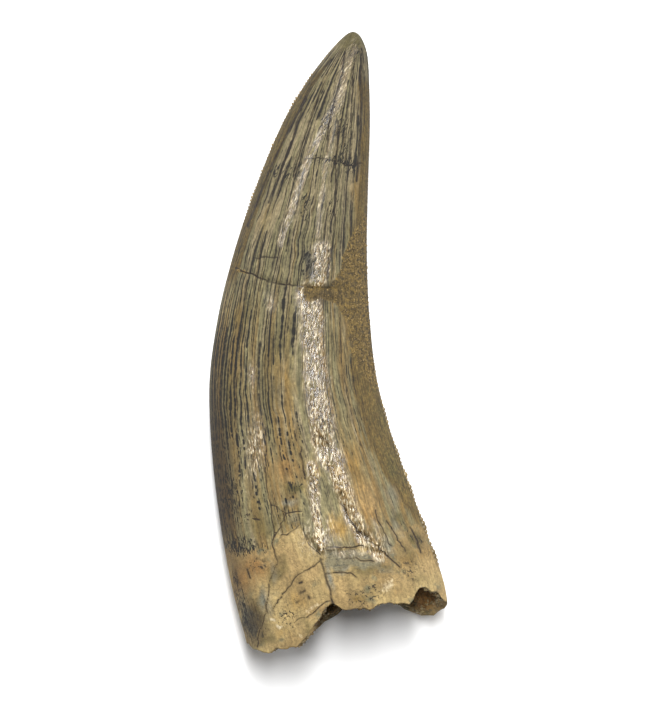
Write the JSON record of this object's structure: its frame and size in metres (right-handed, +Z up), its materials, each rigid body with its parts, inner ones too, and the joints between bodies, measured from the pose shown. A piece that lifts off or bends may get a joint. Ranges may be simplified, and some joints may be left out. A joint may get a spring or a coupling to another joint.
{
  "type": "fossil theropod tooth",
  "caption": "Fossil tooth crown, curved and pointed, with serrated edges and a broken hollow base, lying on its side.",
  "frame": {"origin": "on the surface that the tooth lies on, under the middle of its bounding box", "axes": "+Y from the broken base towards the tip, +X towards the serrated concave edge, +Z up out of the face that shows"},
  "size_m": [0.0222, 0.058, 0.0105],
  "materials": {
    "fossil_enamel": "worn fossil enamel with a low polish"
  },
  "bodies": {
    "root": {"tooth": "fossil_enamel"}
  },
  "joints": []
}
